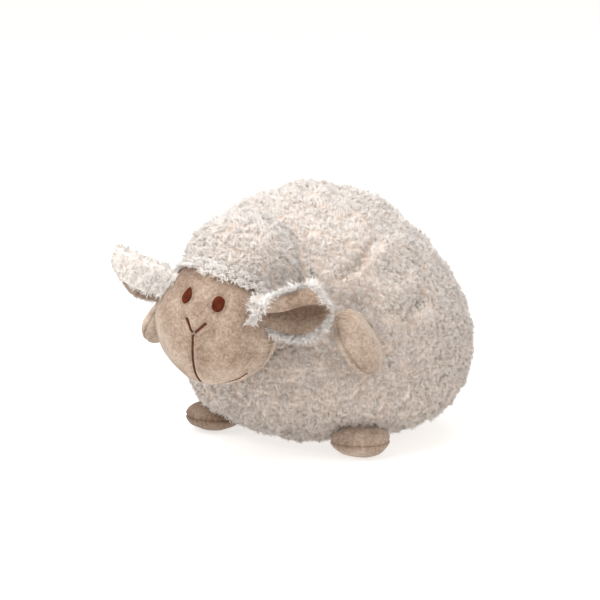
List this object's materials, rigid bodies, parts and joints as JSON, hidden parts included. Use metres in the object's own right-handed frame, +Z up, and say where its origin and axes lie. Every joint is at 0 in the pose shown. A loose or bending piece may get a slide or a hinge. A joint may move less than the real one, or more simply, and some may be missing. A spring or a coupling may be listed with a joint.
{
  "type": "plush sheep toy",
  "caption": "Round plush sheep resting on its base: a curly fleece body with a velour face that nods, floppy ears, and short stuffed arms and feet.",
  "frame": {"origin": "middle of the flat patch under the body that the toy rests on", "axes": "-Z out of the resting patch, +Z up, -Y towards the face, +X towards the toy's left side"},
  "size_m": [0.256, 0.3325, 0.2255],
  "materials": {
    "fleece": "curly cream pile",
    "velour": "short beige nap",
    "pale_velour": "short pale beige nap",
    "filling": "loose polyester fibre",
    "eye_thread": "red-brown satin stitch",
    "line_thread": "dark brown embroidery thread"
  },
  "bodies": {
    "body": {"body_panel_left": "fleece", "body_panel_right": "fleece", "body_base_panel": "fleece", "body_filling": "filling"},
    "head": {"face_panel": "velour", "jaw_panel": "pale_velour", "head_cap_panel": "fleece", "head_back_panel": "fleece", "head_filling": "filling", "eye_left": "eye_thread", "eye_right": "eye_thread", "nose_stitch_left": "line_thread", "nose_stitch_right": "line_thread", "lip_stitch": "line_thread", "smile_stitch": "line_thread"},
    "ear_left": {"ear_left_back": "fleece", "ear_left_lining": "velour"},
    "ear_right": {"ear_right_back": "fleece", "ear_right_lining": "velour"},
    "arm_left": {"arm_left_outer_panel": "pale_velour", "arm_left_palm_panel": "pale_velour", "arm_left_filling": "filling"},
    "arm_right": {"arm_right_outer_panel": "pale_velour", "arm_right_palm_panel": "pale_velour", "arm_right_filling": "filling"},
    "foot_left": {"foot_left_upper_panel": "velour", "foot_left_sole_panel": "velour", "foot_left_filling": "filling"},
    "foot_right": {"foot_right_upper_panel": "velour", "foot_right_sole_panel": "velour", "foot_right_filling": "filling"}
  },
  "joints": [
    {"name": "head_nod", "type": "hinge", "parent": "body", "child": "head", "pos_m": [-0.002, -0.134, 0.152], "axis": [0.9667, 0.1879, -0.1737], "range_deg": [-8, 8], "stiffness_Nm_per_rad": 1},
    {"name": "ear_left_flap", "type": "hinge", "parent": "head", "child": "ear_left", "pos_m": [0.04711, -0.1652, 0.15267], "axis": [-0.3718, 0.9277, 0.0331], "range_deg": [-25, 10], "stiffness_Nm_per_rad": 0.02},
    {"name": "ear_right_flap", "type": "hinge", "parent": "head", "child": "ear_right", "pos_m": [-0.03312, -0.1808, 0.16708], "axis": [0.0028, -0.9994, 0.0331], "range_deg": [-25, 10], "stiffness_Nm_per_rad": 0.02},
    {"name": "arm_left_swing", "type": "hinge", "parent": "body", "child": "arm_left", "pos_m": [0.10092, -0.07763, 0.112], "axis": [0.5111, 0.1086, -0.8526], "range_deg": [-12, 20], "stiffness_Nm_per_rad": 0.05},
    {"name": "arm_right_swing", "type": "hinge", "parent": "body", "child": "arm_right", "pos_m": [-0.10122, -0.07752, 0.11], "axis": [0.5212, 0.0364, 0.8526], "range_deg": [-12, 20], "stiffness_Nm_per_rad": 0.05},
    {"name": "foot_left_flex", "type": "hinge", "parent": "body", "child": "foot_left", "pos_m": [0.07139, -0.04907, 0.014], "axis": [0.848, 0.5299, 0], "range_deg": [0, 25], "stiffness_Nm_per_rad": 0.05},
    {"name": "foot_right_flex", "type": "hinge", "parent": "body", "child": "foot_right", "pos_m": [-0.07139, -0.04907, 0.014], "axis": [0.848, -0.5299, 0], "range_deg": [0, 25], "stiffness_Nm_per_rad": 0.05}
  ]
}
